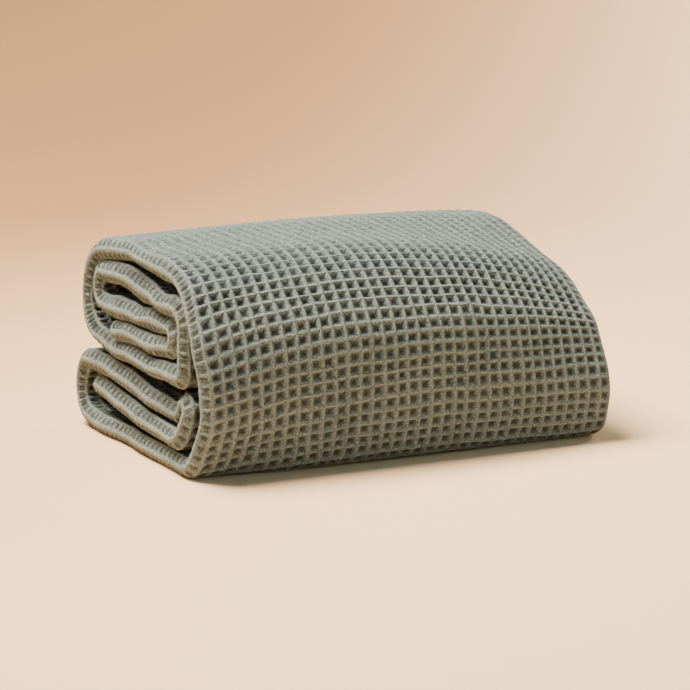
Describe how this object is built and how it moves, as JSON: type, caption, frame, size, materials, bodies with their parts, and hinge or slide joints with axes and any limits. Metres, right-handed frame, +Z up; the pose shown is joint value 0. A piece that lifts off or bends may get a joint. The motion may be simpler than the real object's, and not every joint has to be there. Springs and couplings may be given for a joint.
{
  "type": "folded waffle weave cotton blanket",
  "caption": "Waffle weave cotton blanket folded lengthwise and then back and forth into a thick soft bundle with a rounded front.",
  "frame": {"origin": "middle of the bundle's footprint, on the surface that it rests on", "axes": "+Z up; X runs along the bundle, with the rounded folds at -X and the hems at +X; -Y is the rounded front"},
  "size_m": [0.35, 0.2628, 0.1653],
  "materials": {
    "sage_cotton": "matte"
  },
  "bodies": {
    "root": {"blanket": "sage_cotton"}
  },
  "joints": []
}
